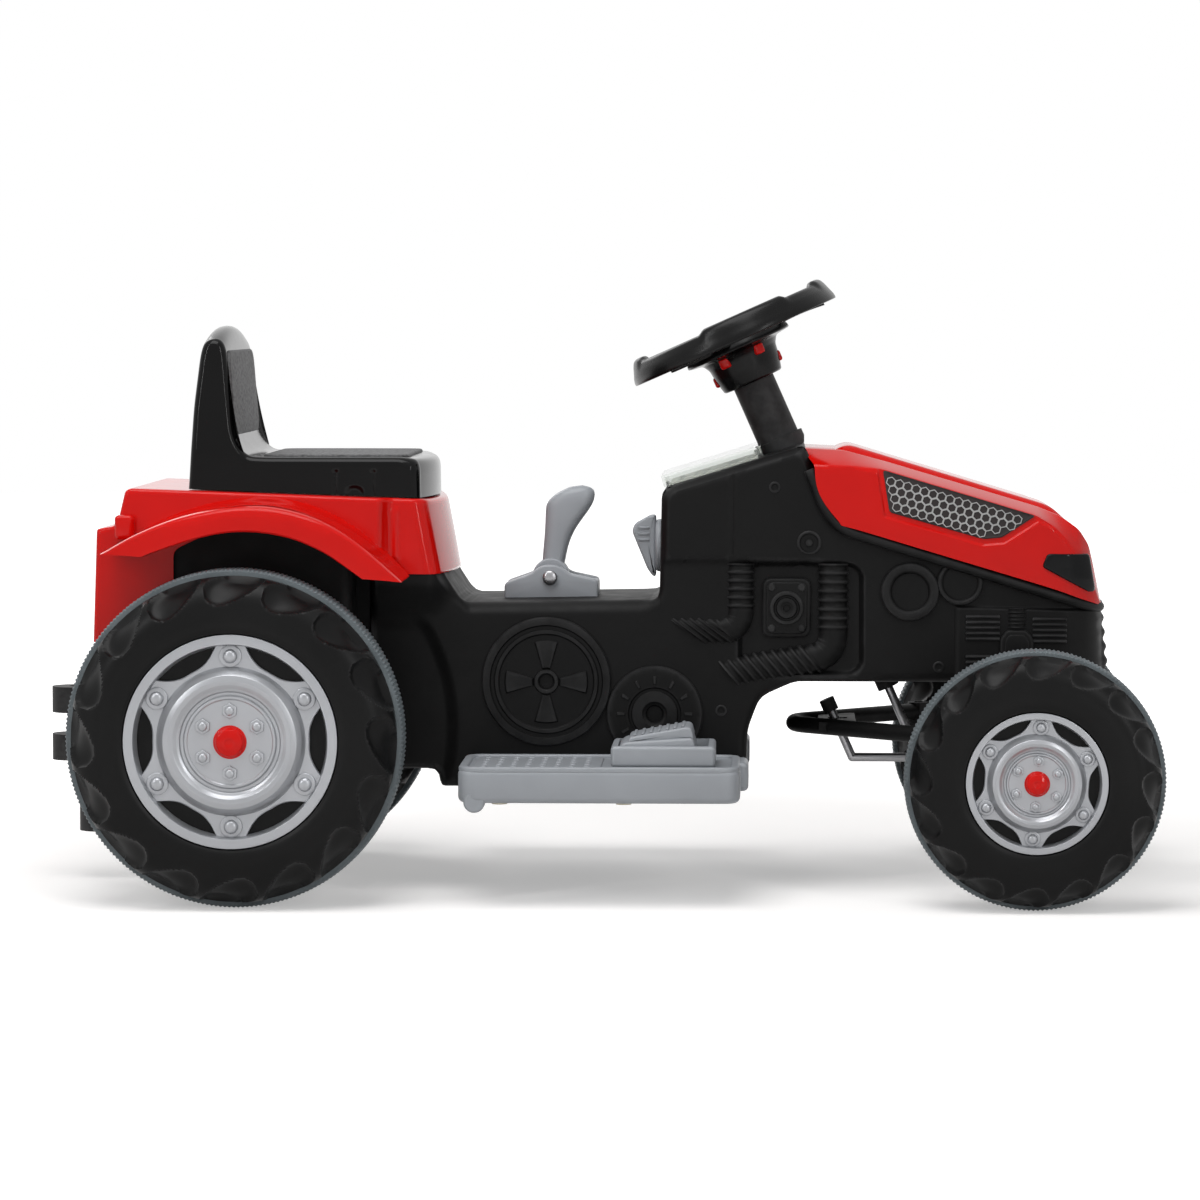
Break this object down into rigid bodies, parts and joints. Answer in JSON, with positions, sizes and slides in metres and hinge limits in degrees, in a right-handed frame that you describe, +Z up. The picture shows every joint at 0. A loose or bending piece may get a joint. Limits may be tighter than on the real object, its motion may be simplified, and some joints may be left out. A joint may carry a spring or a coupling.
{
  "type": "ride on tractor toy",
  "caption": "Battery-driven ride on toy tractor with a red hood and rear cover, black body, lift-off seat, steered front wheels, pedal, gear lever and rear hitch.",
  "frame": {"origin": "on the ground under the middle of the bounding box", "axes": "+X forward, +Y to the tractor's left, +Z up"},
  "size_m": [1.014, 0.5144, 0.5547],
  "materials": {
    "body_black": "satin black moulding",
    "cover_red": "glossy red",
    "silver": "satin silver grey",
    "tyre_black": "satin black",
    "tread_grey": "soft blue grey rubber",
    "seat_black": "glossy black",
    "pad_grey": "grained dark grey",
    "grille_grey": "printed grey honeycomb",
    "lamp_black": "smoked gloss",
    "clear_lens": "clear",
    "card_print": "printed card",
    "steel": "drawn steel",
    "nylon": "natural nylon",
    "inner_grey": "dark grey moulding"
  },
  "bodies": {
    "chassis": {"main_body": "body_black", "rear_cover": "cover_red", "hood": "cover_red", "hood_grilles": "grille_grey", "headlights": "lamp_black", "dash_card": "card_print", "dash_lens": "clear_lens", "column_collar": "body_black", "lower_column_bush": "nylon", "footrest_right": "silver", "footrest_left": "silver", "pedal_housing": "silver", "footrest_screws": "nylon", "gear_bracket": "silver", "gear_pin": "steel", "battery": "inner_grey", "motor": "steel", "gearbox_case": "inner_grey", "gearbox_cover": "inner_grey", "rear_axle": "steel", "axle_bushes": "nylon", "front_axle_beam": "body_black", "kingpins": "steel", "rear_hitch": "body_black"},
    "seat": {"seat_shell": "seat_black", "seat_pad": "pad_grey", "backrest_pad": "pad_grey"},
    "steering": {"steering_wheel": "body_black", "steering_tube": "body_black", "steering_rod": "steel", "crank_cap": "body_black"},
    "horn": {"horn_button": "cover_red"},
    "lever": {"gear_lever": "silver"},
    "pedal": {"pedal_pad": "silver"},
    "ignition": {"ignition_knob": "silver"},
    "right_knuckle": {"knuckle_right": "body_black"},
    "left_knuckle": {"knuckle_left": "body_black"},
    "tie": {"tie_bar": "body_black"},
    "idler": {"idler_gear": "nylon"},
    "pinion": {"motor_pinion": "nylon"},
    "rear_right_wheel": {"rear_tyre_right": "tyre_black", "rear_tread_band_right": "tread_grey", "rear_disc_right": "silver", "rear_hub_cap_right": "cover_red"},
    "rear_left_wheel": {"rear_tyre_left": "tyre_black", "rear_tread_band_left": "tread_grey", "rear_disc_left": "silver", "rear_hub_cap_left": "cover_red", "drive_gear": "nylon"},
    "front_right_wheel": {"front_tyre_right": "tyre_black", "front_tread_band_right": "tread_grey", "front_disc_right": "silver", "front_hub_cap_right": "cover_red"},
    "front_left_wheel": {"front_tyre_left": "tyre_black", "front_tread_band_left": "tread_grey", "front_disc_left": "silver", "front_hub_cap_left": "cover_red"}
  },
  "joints": [
    {"name": "seat_lift", "type": "slide", "parent": "chassis", "child": "seat", "axis": [0, 0, 1], "range_m": [0, 0.16]},
    {"name": "steering_turn", "type": "hinge", "parent": "chassis", "child": "steering", "pos_m": [0.1234, 0, 0.506], "axis": [-0.4067, 0, 0.9135], "range_deg": [-33, 33]},
    {"name": "horn_press", "type": "slide", "parent": "steering", "child": "horn", "axis": [0.4067, 0, -0.9135], "range_m": [0, 0.003], "stiffness_N_per_m": 1000, "springref_m": -0.002},
    {"name": "lever_swing", "type": "hinge", "parent": "chassis", "child": "lever", "pos_m": [-0.043, 0, 0.282], "axis": [0, 1, 0], "range_deg": [-18, 18]},
    {"name": "pedal_press", "type": "hinge", "parent": "chassis", "child": "pedal", "pos_m": [0.029, -0.171, 0.138], "axis": [0, 1, 0], "range_deg": [0, 7], "stiffness_Nm_per_rad": 1, "springref_deg": -5.73},
    {"name": "ignition_turn", "type": "hinge", "parent": "chassis", "child": "ignition", "pos_m": [0.06, -0.045, 0.313], "axis": [1, 0, 0], "range_deg": [0, 60]},
    {"name": "right_knuckle_turn", "type": "hinge", "parent": "chassis", "child": "right_knuckle", "pos_m": [0.392, -0.128, 0.14], "axis": [0, 0, 1], "range_deg": [-20.5, 20.5]},
    {"name": "left_knuckle_turn", "type": "hinge", "parent": "chassis", "child": "left_knuckle", "pos_m": [0.392, 0.128, 0.14], "axis": [0, 0, 1], "range_deg": [-20.5, 20.5]},
    {"name": "tie_turn", "type": "hinge", "parent": "right_knuckle", "child": "tie", "pos_m": [0.3, -0.128, 0.147], "axis": [0, 0, 1], "range_deg": [-20.5, 20.5]},
    {"name": "rear_right_spin", "type": "hinge", "parent": "chassis", "child": "rear_right_wheel", "pos_m": [-0.313, -0.2, 0.15], "axis": [0, 1, 0], "continuous": true},
    {"name": "rear_left_spin", "type": "hinge", "parent": "chassis", "child": "rear_left_wheel", "pos_m": [-0.313, 0.2, 0.15], "axis": [0, 1, 0], "continuous": true},
    {"name": "front_right_spin", "type": "hinge", "parent": "right_knuckle", "child": "front_right_wheel", "pos_m": [0.392, -0.2, 0.115], "axis": [0, 1, 0], "continuous": true},
    {"name": "front_left_spin", "type": "hinge", "parent": "left_knuckle", "child": "front_left_wheel", "pos_m": [0.392, 0.2, 0.115], "axis": [0, 1, 0], "continuous": true},
    {"name": "idler_spin", "type": "hinge", "parent": "chassis", "child": "idler", "pos_m": [-0.28515, 0.05, 0.1695], "axis": [0, 1, 0], "continuous": true},
    {"name": "pinion_spin", "type": "hinge", "parent": "chassis", "child": "pinion", "pos_m": [-0.26094, 0.05, 0.17162], "axis": [0, 1, 0], "continuous": true}
  ],
  "couplings": [
    {"joint": "right_knuckle_turn", "follows": "steering_turn", "ratio": 0.61},
    {"joint": "left_knuckle_turn", "follows": "steering_turn", "ratio": 0.61},
    {"joint": "tie_turn", "follows": "steering_turn", "ratio": -0.61},
    {"joint": "idler_spin", "follows": "rear_left_spin", "ratio": -3.8571},
    {"joint": "pinion_spin", "follows": "rear_left_spin", "ratio": 13.5}
  ]
}
